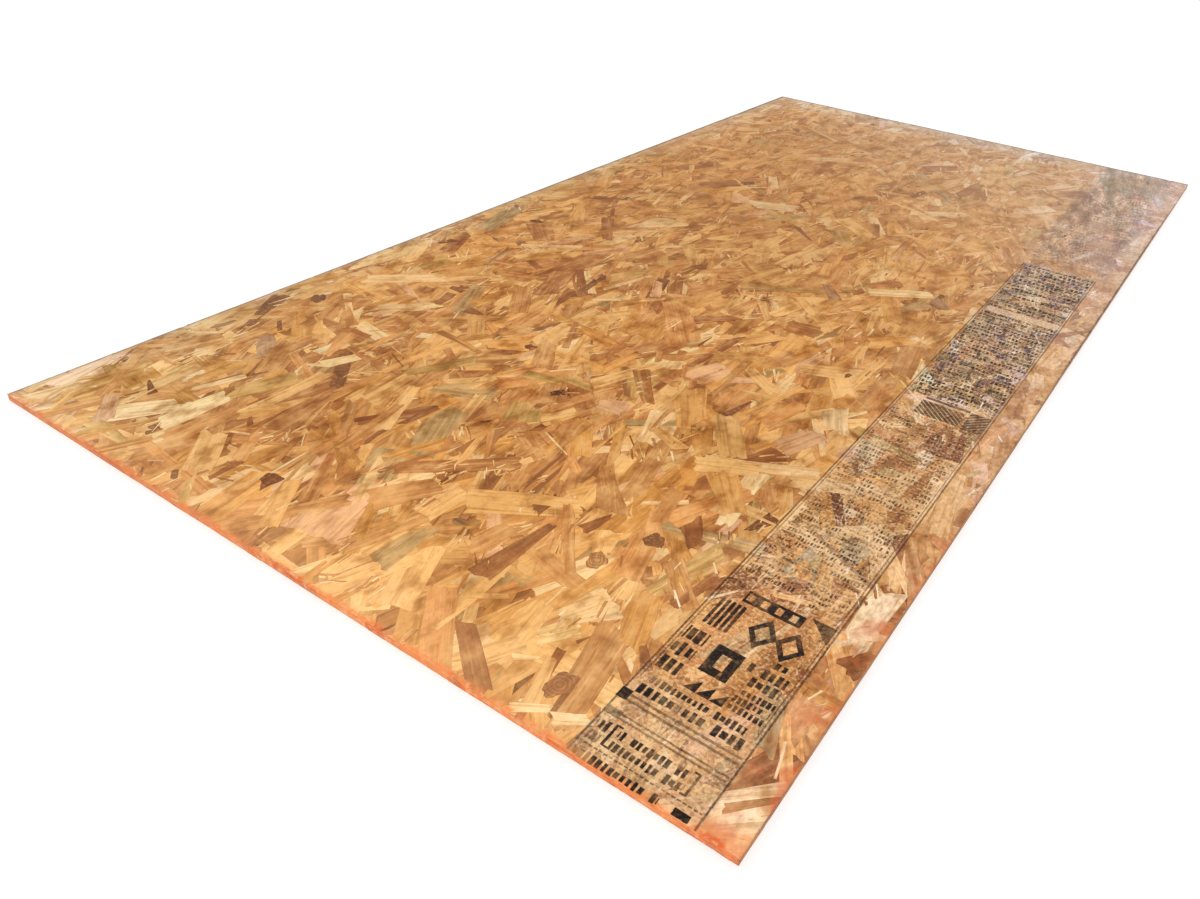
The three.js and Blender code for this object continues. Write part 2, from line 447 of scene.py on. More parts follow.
def framed(across, along):
    """A bar and two hatched blocks between the rows, fine and crowded. Rules at the sides."""
    yield box(across, along, -36, 36, 878, 885)
    hatch = strip(((across + along) / 10).math("FRACT"), 0.5, 0.4, 0.1)
    yield hatch * box(across, along, -38, 32, 826, 872)
    hatch = strip(((across - along) / 10).math("FRACT"), 0.5, 0.4, 0.1)
    yield hatch * box(across, along, 38, 70, 824, 882)
    sideways = across.math("ABSOLUTE")
    yield strip(sideways, BAND_HALF, 1.2) * strip(along, BAND_LENGTH / 2, BAND_LENGTH / 2) * 0.8
    inner = strip(sideways, BAND_HALF - 4.5, 0.7)
    yield inner * strip(along, BAND_LENGTH / 2 + 60, BAND_LENGTH / 2 - 60) * 0.7


def overlaid(marks):
    ink = next(marks)
    for mark in marks:
        ink = ink.math("MAXIMUM", mark)
    return ink


def printed(colour, rough, x, y, z, fine):
    flat = x.vector(x, y, 0.0)
    grit = flat.noise(0.24, 3)
    across = x - BAND_MIDDLE + (flat.noise(0.3, 2) - 0.5) * 1.5
    along = y + half_y + (grit - 0.5) * 1.5
    tone = flat.noise(0.022, 2)
    fine_rows = strip(across, 0, 71, 8) * along.ramp(300, 330) * along.ramp(886, 876)
    crowded = strip(across, 0, 70, 8) * along.ramp(876, 896)
    crowded = crowded * along.ramp(BAND_LENGTH + 30, BAND_LENGTH - 20)
    gap = strip(along, 1288, 13, 6) * strip(across, 0, 66, 8)
    crowded = crowded * (1 - gap)
    rolled = fine_rows.math("MAXIMUM", crowded)
    # the ground, stained by the ink
    colour = colour.tint((1.05, 1.14, 1.46, 1.0), fine_rows, "MULTIPLY")
    colour = colour.tint((1.06, 1.24, 1.7, 1.0), crowded, "MULTIPLY")
    colour = colour.tint("#e6cbad", gap * 0.5)
    colour = colour.tint("#f8e6d0", gap * grit.ramp(0.5, 0.4) * 0.3)
    colour = colour.tint("#8a6c54", gap * grit.ramp(0.52, 0.62) * 0.6)
    colour = colour.tint("#76705a", tone.ramp(0.47, 0.38) * crowded * 0.45)
    colour = colour.tint("#7a6069", tone.ramp(0.55, 0.64) * crowded * 0.5)
    colour = colour.tint("#efd2ad", grit.ramp(0.45, 0.37) * rolled * 0.55)
    gritty = fine_rows * 0.35 + crowded * 0.7
    colour = colour.tint("#6d4f38", grit.ramp(0.52, 0.62) * gritty)
    clumps = x.vector(x, y * 0.5, 0.0).noise(0.09, 3).ramp(0.53, 0.62)
    colour = colour.tint("#33261e", clumps * crowded * 0.7)
    stamped = strip(across, 0, 74, 6) * along.ramp(330, 315) * along.ramp(2, 14)
    colour = colour.tint((0.93, 0.88, 0.9, 1.0), stamped, "MULTIPLY")
    colour = colour.tint("#f0d8ac", stamped * along.ramp(150, 110) * 0.2)
    colour = colour.tint("#f4dcb2", grit.ramp(0.47, 0.38) * stamped * 0.45)
    colour = colour.tint("#6a3f26", grit.ramp(0.53, 0.62) * stamped * 0.45)

    # the ink, thin where the wafers lie low and where the plate slipped
    density = flat.noise(0.03, 3).ramp(0.34, 0.6)
    kept = (density * 0.25 + 0.75) * (flat.noise(0.6, 2) + fine * 0.5).ramp(0.42, 0.56)
    kept = kept * (z.ramp(thickness - 1.0, thickness - 0.5) * 0.4 + 0.6)
    kept = kept * (along.ramp(900, 300) * 0.15 + 0.85)
    row_ink = (tone.ramp(0.52, 0.62) * along.ramp(850, 950)).between("#2b1c12", "#35283a")
    slip = (flat.noise(0.05, 2) - 0.5) * 14
    rows = overlaid(rolled_rows(across, along + slip)) * (grit.ramp(0.38, 0.5) * 0.6 + 0.4)
    colour = colour.tint(row_ink, rows * kept * (density * 0.65 + 0.25 + crowded * 0.45))
    stamp_ink = grit.ramp(0.38, 0.52).between("#3e281a", "#120a06")
    ink = overlaid(chain(stamped_block(across, along), framed(across, along)))
    colour = colour.tint(stamp_ink, ink * kept)

    # beyond the band the ink is smeared along the wafers, and damp has greyed some of them
    streak = x.vector(x * 0.045 + y * 0.009, y * 0.009, 0.0).noise(1.0, 4)
    beyond = strip(x, 490, 84, 40) * along.ramp(1560, 1640)
    colour = colour.tint((0.88, 0.94, 1.14, 1.0), beyond, "MULTIPLY")
    colour = colour.dim(1 + (streak - 0.5) * beyond * 2.5)
    colour = colour.tint("#5f4c3e", grit.ramp(0.54, 0.64) * beyond * 0.6)
    colour = colour.tint("#f0dcc6", grit.ramp(0.44, 0.36) * beyond * 0.5)
    for middle_x, middle_y, reach_x, reach_y, stain, share in (
        (430, 800, 28, 150, "#86684f", 0.5),
        (458, 1080, 52, 190, "#95876f", 0.5),
        (546, 1110, 34, 170, "#b0a294", 0.4),
        (524, 560, 34, 190, "#b89484", 0.5),
    ):
        sideways = (x - middle_x + (y - middle_y) * 0.2) / reach_x
        spread = x.away(sideways, (y - middle_y) / reach_y) + (streak - 0.5) * 3
        colour = colour.tint(stain, spread.ramp(1.3, 0.4) * share)
    return colour, rough


def sealer_colour(place):
    colour = place.noise(0.03, 3).ramp(0.34, 0.52).between("#e45f2c", "#f9924e")
    colour = colour.tint("#fcc08e", place.noise(0.12, 3).ramp(0.5, 0.66) * 0.7)
    return colour.tint("#c0633a", place.part(0).ramp(150, -450) * 0.5)


def oversprayed(colour, rough, x, y, z, fine):
    flat = x.vector(x, y, 0.0)
    from_near = y + half_y
    from_right = half_x - x
    patch = flat.noise(0.05, 3).ramp(0.42, 0.6)
    drift = flat.noise(0.5, 3) * 8 + flat.noise(0.02, 2) * 10
    clear_of_right = from_right * 1.4 + patch * 9 + y.ramp(-800, -100) * 40
    away = from_near.math("MINIMUM", clear_of_right)
    mist = (away - drift).ramp(5, -9) * (0.3 + patch * 0.7)
    coat = (away - drift * 0.65).ramp(1, -3) * (0.2 + patch * 0.8)
    corner = x.away(from_right / 120, from_near / 44).ramp(1.1, 0.2) * (0.6 + patch * 0.4)
    blush = from_right.ramp(60, 5) * y.ramp(-500, -1000) * flat.noise(0.02, 2).ramp(0.5, 0.62)
    colour = colour.tint("#fd9f66", mist.math("MAXIMUM", corner) * 0.62)
    colour = colour.tint("#d2633a", blush * 0.6)
    colour = colour.tint(sealer_colour(flat), coat * 0.85)

    # The left and far arrises, with a thin line of painted shade along them, and the faded wood
    # beside them
    arris = (x + half_x).math("MINIMUM", half_y - y)
    width = 4 + y.ramp(-1219, 1219) * 8
    painted_arris_shade = arris / width + flat.noise(0.06, 3)
    faded = (x + half_x).ramp(100, 8) * y.ramp(-2200, -300)
    faded = faded.math("MAXIMUM", (half_y - y).ramp(150, 10) * x.ramp(560, 200))
    colour = colour.tint((1.02, 1.25, 1.7, 1.0), faded, "MULTIPLY")
    colour = colour.tint("#c9ad8e", (arris / width).ramp(3.4, 0.6) * 0.3)
    # painted shade: a thin dark line along the left and far arrises
    colour = colour.tint("#6f5a48", painted_arris_shade.ramp(1.4, 0.8) * 0.75)
    rubbed = (from_right + flat.noise(0.06, 3) * 3).ramp(5.5, 1.5)
    rubbed = rubbed * (0.14 + x.away(y - 350, 0.0).ramp(700, 300) * 0.8)
    colour = colour.tint("#5a4030", rubbed)
    return colour, rough - coat * 0.15


plain_wood = wafer_wood("face_wafer_wood", weathered, oversprayed)
printed_wood = wafer_wood("printed_face_wafer_wood", weathered, oversprayed, printed)

# ---- Face wafers: their shapes --------------------------------------------------------------
# Thousands of thin wafers, split straight along their sides and torn at their ends, lie mostly
# along the panel, over and under one another. The press leaves them almost flush, each with a
# rim that rolls down, and the saw cuts through those that reach over an edge.

WAFER_THICKNESS = 0.8
RIM_WIDTH = 0.9
RIM_ROLL = 0.12
FRAY = 0.5                      # how far a sawn end stands back
WAFER_LENGTHS = 28, 170
WAFER_WIDTHS = 5, 55
ASKEW = 0.13                    # the share that lies in any direction
HEARTED = 0.12                  # the share cut from near the heart of the log
STANDOUT_DEPTH = 0.2
STANDOUT_STEP = 0.00135         # each lies this much higher than the one before
KNOT_STEP = 0.001
LANES = 10                      # pieces that the wafers of the upper face are kept in
PRINTED_LANES = 3               # those on the right, which the print reaches
draw = np.random.default_rng(7)


def torn_outline(length, width):
    """A wafer seen flat, its grain along the first axis: split sides and torn ends."""
    half_l, half_w = length / 2, width / 2
    taper = draw.uniform(-0.22, 0.22) if draw.uniform() < 0.75 else draw.uniform(-0.75, 0.75)
    bow = draw.normal(0, 0.012) * length
    steps = np.linspace(-1, 1, 4)
    tooth = min(5.0, 1.0 + 0.12 * width)
    count = int(np.clip(round(width / 6), 1, 5))

    def side(sign):
        wide = half_w * (1 + taper * steps + draw.normal(0, 0.05, len(steps)))
        return np.column_stack([steps * half_l, sign * wide])

    lower, upper = side(-1), side(1)[::-1]
    ends = []
    for sign, first, last in ((1, lower, upper), (-1, upper, lower)):
        slant = draw.normal(0, 0.4) * width / 2
        first[-1, 0] -= slant
        last[0, 0] += slant
        share = np.linspace(0, 1, count + 2)[1:-1, None]
        torn = first[-1] + (last[0] - first[-1]) * share
        torn[:, 0] += draw.uniform(-tooth, tooth, count)
        ends.append(torn)
    outline = np.concatenate([lower, ends[0], upper, ends[1]])
    outline[:, 1] += bow * (1 - (outline[:, 0] / half_l) ** 2)
    return outline


def oval_outline(length, width):
    turn = np.linspace(0, 2 * math.pi, 25)[:-1]
    size = 1 + draw.normal(0, 0.04, 24)
    for lobes in (2, 3, 5):
        size += 0.09 * np.cos(turn * lobes + draw.uniform(0, 6))
    return np.column_stack([np.cos(turn) * size * length / 2, np.sin(turn) * size * width / 2])


def sawn(outline):
    """The part of an outline that lies on the panel."""
    cuts = ((0, 1, half_x), (0, -1, half_x), (1, 1, half_y), (1, -1, half_y))
    for (axis, side, reach), short in zip(cuts, draw.uniform(0, FRAY, 4)):
        room = reach - short - side * outline[:, axis]
        kept = []
        for i in range(len(outline)):
            if (room[i - 1] < 0) != (room[i] < 0):
                share = room[i - 1] / (room[i - 1] - room[i])
                kept.append(outline[i - 1] + (outline[i] - outline[i - 1]) * share)
            if room[i] >= 0:
                kept.append(outline[i])
        if len(kept) < 3:
            return None
        outline = np.array(kept)
    return outline


class Wafer:
    """A wafer in its place: an outline in its own plane, and the way that plane faces."""

    def __init__(self, middle, along, across, outline, wood, heart=0.0, tilt=(0.0, 0.0)):
        self.middle = np.array(middle, float)
        self.along = np.array(along, float)
        self.across = np.array(across, float)
        self.up = np.cross(self.along, self.across)
        self.outline = outline
        self.tilt = np.array(tilt)
        self.drop = np.abs(outline * self.tilt).sum(1).max()
        self.heart = heart
        self.ringed = 0.0
        self.number = draw.uniform(0, 90)
        base = np.array(paint(WOODS[wood][0])[:3])
        warm = draw.normal(0, 0.012)
        self.colour = base * (1 + draw.normal(0, 0.06)) * (1 + warm, 1.0, 1 - 2 * warm)
        self.shading = draw.normal(0, 0.06, 2) / np.abs(outline).max(0)

    def place(self, flat, height):
        lift = (height - self.drop + flat @ self.tilt)[:, None]
        return self.middle + flat[:, :1] * self.along + flat[:, 1:] * self.across + lift * self.up

    def shade(self, flat):
        factor = 1 + flat @ self.shading
        shaded = np.clip(self.colour * factor[:, None], 0.01, 0.98)
        return np.column_stack([shaded, np.ones(len(flat))])


def face_wafer(x, y, turn, outline, wood, depth, heart=0.0, tilt=(0.0, 0.0), under=False):
    """Lays a wafer on a face. Turn is in degrees from +Y towards +X."""
    angle = math.radians(turn)
    side = -1 if under else 1
    along = np.array([math.sin(angle), math.cos(angle)])
    across = np.array([-math.cos(angle), math.sin(angle)]) * side
    cut = sawn(np.array([x, y]) + outline[:, :1] * along + outline[:, 1:] * across)
    if cut is None:
        return None
    away = cut - (x, y)
    level = depth if under else thickness - depth
    flat = np.column_stack([away @ along, away @ across])
    return Wafer((x, y, level), (*along, 0), (*across, 0), flat, wood, heart, tilt)


def strewn(count, long, wide, spread, depths=(0.05, 0.9), under=False):
    """Wafers strewn over a face, most of them nearly along the panel."""
    made = []
    for _ in range(count):
        x = draw.uniform(-half_x - 20, half_x + 20)
        y = draw.uniform(-half_y - 30, half_y + 30)
        turn = draw.normal(0, spread) if draw.uniform() < 1 - ASKEW else draw.uniform(-90, 90)
        length = np.clip(draw.normal(*long), *WAFER_LENGTHS)
        width = np.clip(draw.lognormal(math.log(wide[0]), wide[1]), *WAFER_WIDTHS)
        wood = str(draw.choice(WOOD_NAMES, p=WOOD_SHARES / WOOD_SHARES.sum()))
        heart = draw.uniform(0.3, 0.9) if draw.uniform() < HEARTED else 0.0
        depth = depths[0] + draw.beta(1.2, 1.5) * (depths[1] - depths[0])
        tilt = draw.normal(0, (0.0008, 0.004))
        outline = torn_outline(length, width)
        made.append(face_wafer(x, y, turn, outline, wood, depth, heart, tilt, under))
    return [wafer for wafer in made if wafer]


def in_view(wafers, cell=3.0):
    """Leaves out the buried wafers. From the highest down, each hides all but its own rim."""
    columns, rows = int(2 * half_x / cell) + 1, int(2 * half_y / cell) + 1
    hidden = np.zeros((columns, rows), bool)
    grid_x = (np.arange(columns) + 0.5) * cell - half_x
    grid_y = (np.arange(rows) + 0.5) * cell - half_y
    kept = []
    for wafer in sorted(wafers, key=lambda one: one.drop - one.middle[2] * one.up[2]):
        low, high = wafer.outline.min(0), wafer.outline.max(0)
        reach = np.abs(wafer.outline).max()
        c0, c1 = np.searchsorted(grid_x, wafer.middle[0] + np.array((-reach, reach)))
        r0, r1 = np.searchsorted(grid_y, wafer.middle[1] + np.array((-reach, reach)))
        away_x = grid_x[c0:c1, None] - wafer.middle[0]
        away_y = grid_y[None, r0:r1] - wafer.middle[1]
        u = away_x * wafer.along[0] + away_y * wafer.along[1]
        v = away_x * wafer.across[0] + away_y * wafer.across[1]
        # how deep each place lies inside the wafer: 0 at its rim, 1 at its middle
        deep_u = 1 - np.abs(u - (low[0] + high[0]) / 2) / ((high[0] - low[0]) / 2)
        deep_v = 1 - np.abs(v - (low[1] + high[1]) / 2) / ((high[1] - low[1]) / 2)
        seen = hidden[c0:c1, r0:r1]
        if ((deep_u > 0) & (deep_v > 0) & ~seen).sum() > 1:
            kept.append(wafer)
            seen[(deep_u > 0.1) & (deep_v > 0.2)] = True
    return kept


def rows_on_a_square(sizes):
    """Lays rectangles in rows on a square, none over another: their corners, and its side."""
    order = sorted(range(len(sizes)), key=lambda i: -sizes[i][1])
    side = math.sqrt(sum((a + 3) * (b + 3) for a, b in sizes)) * 1.01
    while True:
        gap = side * 0.0022
        corners = {}
        x, y, tall = gap, gap, 0.0
        for i in order:
            if x + sizes[i][0] + gap > side:
                x, y, tall = gap, y + tall + gap, 0.0
            corners[i] = x, y
            x += sizes[i][0] + gap
            tall = max(tall, sizes[i][1])
        if y + tall + gap <= side:
            return corners, side
        side *= 1.015


def add_wafers(name, wafers, material, thick=WAFER_THICKNESS, rim=RIM_WIDTH, roll=RIM_ROLL):
    """One mesh of many closed wafers, each with a rolled rim and a place of its own on the map."""
    points, faces, map_spots, grain, wood, form = [], [], [], [], [], []
    lows = [wafer.outline.min(0) for wafer in wafers]
    corners, side = rows_on_a_square([
        tuple(wafer.outline.max(0) - low) for wafer, low in zip(wafers, lows)
    ])
    lowest, highest = np.array([-half_x, -half_y, 0]), np.array([half_x, half_y, thickness])
    for index, wafer in enumerate(wafers):
        outer, n, first = wafer.outline, len(wafer.outline), len(points)
        middle = (outer.min(0) + outer.max(0)) / 2
        shrink = np.maximum(1 - rim / np.abs(outer - middle).max(0), 0.35)
        inner = middle + (outer - middle) * shrink
        for flat, height, in_rim in ((outer, -roll, 0), (inner, 0.0, 1), (outer, -thick, 0)):
            points.extend(np.clip(wafer.place(flat, height), lowest, highest))
            grain.extend(np.column_stack([flat * MM, np.full(n, wafer.number)]))
            wood.extend(wafer.shade(flat))
            form.extend([(in_rim, wafer.heart, wafer.ringed)] * n)
        shift = np.array(corners[index]) - lows[index]
        outer_spot = (outer + shift) / side
        inner_spot = (inner + shift) / side
        spine = (middle[1] + shift[1]) / side
        faces.append(tuple(range(first + n, first + 2 * n)))
        map_spots.extend(inner_spot)
        for i in range(n):
            j = (i + 1) % n
            faces.append((first + i, first + j, first + n + j, first + n + i))
            map_spots.extend((outer_spot[i], outer_spot[j], inner_spot[j], inner_spot[i]))
            faces.append((first + 2 * n + i, first + 2 * n + j, first + j, first + i))
            map_spots.extend((outer_spot[i], outer_spot[j], outer_spot[j], outer_spot[i]))
        faces.append(tuple(range(first + 3 * n - 1, first + 2 * n - 1, -1)))
        map_spots.extend((outer_spot[i][0], spine) for i in range(n - 1, -1, -1))
    piece = add_piece(name, points, faces, material)
    layer = piece.data.uv_layers.new(name="OFBake")
    layer.uv.foreach_set("vector", np.array(map_spots, np.float32).ravel())
    for label, kind, field, values in (
        ("grain", "FLOAT_VECTOR", "vector", grain),
        ("wood", "FLOAT_COLOR", "color", wood),
        ("form", "FLOAT_VECTOR", "vector", form),
    ):
        attribute = piece.data.attributes.new(label, kind, "POINT")
        attribute.data.foreach_set(field, np.array(values, np.float32).ravel())


# The wafers that stand out, from the lowest up: place, turn, length, width and wood
STANDOUTS = (
    (-496, -834, -54, 36, 8, "bark"),
    (-458, -888, -54, 74, 30, "mauve"),
    (-306, -868, -41, 110, 24, "bark"),
    (-256, -972, -7, 136, 36, "brown"),
    (-142, -904, 33, 124, 22, "russet"),
    (-70, -900, -25, 130, 50, "grey"),
    (-542, -1112, 8, 120, 34, "ochre"),
    (-330, -1084, 4, 124, 34, "amber"),
    (-294, -1044, -55, 34, 8, "russet"),
    (-476, -1080, -65, 44, 10, "bark"),
    (-114, -1068, -33, 133, 18, "brown"),
    (-154, -1120, 0, 28, 24, "bark"),
    (-216, -1140, 0, 48, 10, "russet"),
    (-258, -1186, -50, 24, 10, "bark"),
    (-418, -1180, -85, 90, 12, "olive"),
    (-370, -748, -80, 70, 26, "cream"),
    (-374, -836, 0, 34, 24, "pale"),
    (-346, -882, 55, 44, 9, "cream"),
    (-134, -1084, 0, 36, 30, "cream"),
    (-410, -776, -85, 110, 30, "brown"),
    (-290, -816, -83, 128, 16, "brown"),
    (218, -780, -13, 160, 30, "tan"),
    (262, -846, 50, 107, 9, "cream"),
    (340, -864, -40, 46, 26, "russet"),
    (188, -1024, 4, 128, 24, "russet"),
    (234, -924, 20, 44, 16, "russet"),
    (120, -1136, -25, 110, 50, "straw"),
    (320, -1052, 25, 60, 44, "cream"),
    (452, -900, 50, 120, 34, "russet"),
    (582, -1128, 25, 84, 38, "russet"),
    (597, -1146, 25, 60, 8, "bark"),
    (602, -940, 32, 42, 30, "russet"),
    (580, -1030, 0, 90, 30, "amber"),
    (400, -792, 20, 50, 16, "bark"),
    (398, -955, 10, 70, 14, "russet"),
    (582, -902, 39, 56, 24, "cream"),
    (156, -934, 0, 40, 22, "russet"),
    (50, -836, -60, 90, 22, "brown"),
    (-478, -564, 46, 150, 34, "cream"),
    (-386, -480, 42, 110, 18, "straw"),
    (-290, -476, 50, 105, 16, "straw"),
    (-330, -552, -25, 120, 30, "grey"),
    (-529, -374, -20, 108, 30, "russet"),
    (-547, -384, 23, 40, 15, "bark"),
    (-347, -103, -36, 127, 26, "russet"),
    (-487, -173, 47, 24, 18, "knot"),
    (-283, -309, 10, 158, 46, "brown"),
    (-209, -440, -8, 86, 24, "russet"),
    (-202, -361, -8, 117, 14, "bark"),
    (-142, -385, 49, 54, 13, "cream"),
    (-76, -329, 44, 53, 13, "straw"),
    (-377, -260, 52, 126, 16, "cream"),
    (-372, -626, 31, 52, 28, "cream"),
    (-285, -698, 55, 37, 14, "pale"),
    (-289, -584, 89, 37, 19, "russet"),
    (-106, -540, -26, 99, 13, "brown"),
    (-14, -700, -30, 90, 40, "tan"),
    (-4, -706, 36, 26, 16, "knot"),
    (-130, -618, 49, 20, 10, "bark"),
    (-50, -683, 71, 62, 24, "olive"),
    (2, -661, 87, 51, 19, "olive"),
    (53, -322, 44, 90, 23, "russet"),
    (73, -406, 13, 74, 28, "cream"),
    (83, -409, 2, 44, 5, "bark"),
    (112, -470, 6, 60, 12, "russet"),
    (168, -584, -20, 80, 18, "brown"),
    (224, -464, -60, 80, 24, "straw"),
    (236, -568, 10, 75, 10, "bark"),
    (368, -496, -25, 64, 40, "cream"),
    (340, -676, 65, 160, 24, "cream"),
    (-117, -884, 6, 66, 14, "russet"),
    (85, -681, 83, 42, 37, "rose"),
    (-267, 372, 46, 24, 34, "knot"),
    (-319, 321, 38, 100, 40, "russet"),
    (-393, 893, 78, 20, 40, "bark"),
    (-179, 620, -7, 142, 21, "russet"),
    (55, 856, 41, 99, 45, "russet"),
    (85, 606, 10, 61, 17, "bark"),
    (-143, 276, 66, 100, 46, "pale"),
    (-87, 224, -71, 105, 28, "olive"),
    (-12, 167, -50, 81, 9, "bark"),
    (-211, 33, 58, 32, 40, "russet"),
    (-90, -143, 20, 24, 26, "russet"),
    (16, 57, 22, 50, 13, "brown"),
    (101, 301, -27, 80, 16, "russet"),
    (164, -74, -39, 76, 21, "mauve"),
    (231, 34, 36, 68, 32, "brown"),
    (271, 13, 55, 126, 32, "cream"),
    (350, 16, -50, 44, 28, "mauve"),
    (187, -254, 85, 46, 48, "brown"),
    (-415, 136, -85, 27, 27, "brown"),
    (-185, -88, 43, 65, 13, "cream"),
    (-114, -40, 53, 109, 13, "straw"),
    (-571, 502, 3, 160, 46, "amber"),
    (-592, 715, -1, 180, 40, "amber"),
    (578, -1186, 48, 112, 50, "cream"),
    (596, -1160, 44, 70, 10, "tan"),
    (604, -1212, 62, 70, 34, "straw"),
    (384, -1132, -10, 150, 26, "tan"),
    (-585, -545, 0, 120, 36, "straw"),
    (-392, -652, 42, 84, 26, "cream"),
    (-168, -634, 45, 80, 44, "honey"),
    (-414, -905, -30, 100, 34, "tan"),
    (-545, -960, 20, 90, 40, "tan"),
    (-374, -1078, 2, 104, 36, "cream"),
    (-272, -1130, -40, 90, 40, "straw"),
    (-428, -1120, 35, 90, 40, "cream"),
    (-436, -215, -45, 90, 50, "brown"),
    (-528, -985, -40, 24, 20, "brown"),
    (-262, -395, -20, 110, 46, "brown"),
    (-560, -925, 45, 50, 12, "straw"),
    (-262, -490, -35, 110, 36, "tan"),
    (-470, -1150, -50, 70, 24, "rose"),
    (-96, -622, -30, 90, 34, "tan"),
    (0, -1030, 30, 90, 44, "tan"),
    (76, -1105, 0, 80, 30, "grey"),
    (200, -850, -40, 110, 30, "tan"),
    (-436, -742, -50, 70, 24, "tan"),
    (374, -1030, -20, 90, 34, "ochre"),
    (386, -240, -10, 120, 40, "tan"),
    (343, -1167, -19, 70, 16, "straw"),
    (264, -1186, -52, 100, 24, "russet"),
    (410, -1075, -41, 36, 12, "russet"),
    (355, -1203, 55, 44, 12, "cream"),
    (398, -1188, 55, 40, 16, "cream"),
    (310, -1152, 58, 30, 8, "cream"),
    (217, -1105, 55, 44, 10, "straw"),
    (265, -640, -35, 110, 40, "straw"),
    (180, -600, -30, 100, 40, "honey"),
    (350, -585, 20, 80, 40, "rose"),
    (330, -760, -40, 90, 40, "honey"),
    (300, -710, 62, 90, 34, "straw"),
)
# Knots and round patches: place, turn, length, width and wood
KNOTS = (
    (-530, -724, -40, 36, 24, "knot"),
    (310, -906, 20, 30, 24, "bark"),
    (276, -980, -30, 32, 24, "brown"),
    (362, -1160, 10, 38, 28, "russet"),
    (-134, -620, 0, 18, 12, "bark"),
    (326, -356, 0, 16, 10, "bark"),
)

BUNCHES = 420
LONE_SPLINTERS = 500
DARK_SHARE = 0.4
DARK_SPLINTERS = "russet", "brown", "brown", "tan"
LIGHT_SPLINTERS = "straw", "straw", "cream", "cream", "pale"


def splinter(x, y, turn):
    """A thin splinter lying on the face."""
    woods = DARK_SPLINTERS if draw.uniform() < DARK_SHARE else LIGHT_SPLINTERS
    outline = torn_outline(np.clip(draw.lognormal(2.9, 0.5), 6, 80), draw.uniform(1.5, 4.5))
    wood = woods[draw.integers(len(woods))]
    return face_wafer(x, y, turn, outline, wood, draw.uniform(0.02, 0.3))


def bunch():
    """Splinters side by side, where the torn end of a wafer has frayed."""
    x, y = draw.uniform(-1, 1, 2) * (half_x, half_y)
    turn = draw.normal(0, 28)
    steps = draw.normal(0, (9, 12), (draw.integers(4, 10), 2))
    return [splinter(x + across, y + along, turn + draw.normal(0, 7)) for across, along in steps]


def in_lane(wafers, lane, lanes):
    """The wafers whose middles lie in one of the equal lanes along the panel."""
    edges = np.linspace(-half_x, half_x, lanes + 1)[1:-1]
    return [wafer for wafer in wafers if np.searchsorted(edges, wafer.middle[0]) == lane]


bed = strewn(1700, (130, 20), (44, 0.15), 20, (0.92, 1.0))
upper = in_view(bed + strewn(5000, (106, 30), (23, 0.5), 26))
upper += chain(*(bunch() for _ in range(BUNCHES)))
upper += [
    splinter(*draw.uniform((-half_x, -half_y), (half_x, half_y)), draw.normal(0, 26))
    for _ in range(LONE_SPLINTERS)
]
for order, (x, y, turn, length, width, wood) in enumerate(STANDOUTS):
    depth = STANDOUT_DEPTH - STANDOUT_STEP * order
    upper.append(face_wafer(x, y, turn, torn_outline(length, width), wood, depth))
for order, (x, y, turn, length, width, wood) in enumerate(KNOTS):
    outline = oval_outline(length, width)
    knot = face_wafer(x, y, turn, outline, wood, KNOT_STEP * (order + 1), heart=0.5)
    knot.ringed = 1.0
    upper.append(knot)
upper = [wafer for wafer in upper if wafer]
for lane in range(LANES):
    wood = printed_wood if lane >= LANES - PRINTED_LANES else plain_wood
    add_wafers(f"face_wafers_{lane + 1}", in_lane(upper, lane, LANES), wood)

# ---- Underside wafers ------------------------------------------------------------------------
# The same wafers, larger and fewer. The board was pressed lying on a screen of woven wire, which
# leaves a dent under each crossing, so that this face isn't slippery.

UNDER_LANES = 4
WIRE_PITCH = 2.6
DENT_DEPTH = 0.08


def screen_dents(x, y):
    turn = 2 * math.pi / WIRE_PITCH
    return (x * turn).math("SINE") * (y * turn).math("SINE") * (DENT_DEPTH * MM / 2)


under_wood = wafer_wood("underside_wafer_wood", weathered, oversprayed, dents=screen_dents)
bed = strewn(1200, (140, 20), (48, 0.1), 20, (0.92, 1.0), under=True)
under = in_view(bed + strewn(1700, (116, 30), (32, 0.4), 28, under=True))
for lane in range(UNDER_LANES):
    add_wafers(f"underside_wafers_{lane + 1}", in_lane(under, lane, UNDER_LANES), under_wood)

# ---- Sawn edges --------------------------------------------------------------------------------
# A dozen plies of wafers lie between the faces, cut along their length on one pair of edges and
# across it on the other. Orange sealer is sprayed on them and wears off where they are handled.

PLIES = 12
PLY_SETBACK = 0.45


def sealed(cover, bare):
    """Sealer on this share of the edge, and the colour that the rest of it has weathered to."""
    def coat(colour, rough, x, y, z, fine):
        place = x.vector(x, y, z)
        patch = place.noise(0.03, 3) * 0.6 + place.noise(0.3, 2) * 0.4 + z * 0.014
        level = 0.76 - cover * 0.2
        paint_left = patch.ramp(level, level + 0.06)
        colour = colour.tint(bare, 0.6)
        colour = colour.tint(sealer_colour(place), paint_left * 0.66)
        # painted shadow: the lowest few millimetres of the edge are darker, where it meets the
        # floor
        colour = colour.tint("#92715c", z.ramp(2.4, 0.3) * 0.6)
        return colour, rough - paint_left * 0.1
    return coat


def lens_outline(length, height):
    steps = np.array([-1, -0.75, 0, 0.75, 1])
    swell = np.array([0.2, 0.85, 1, 0.85, 0.2])
    lower = np.column_stack([steps * length / 2, -swell * height / 2 * draw.uniform(0.8, 1.15, 5)])
    upper = np.column_stack([steps * length / 2, swell * height / 2 * draw.uniform(0.8, 1.15, 5)])
    return np.concatenate([lower, upper[::-1]])


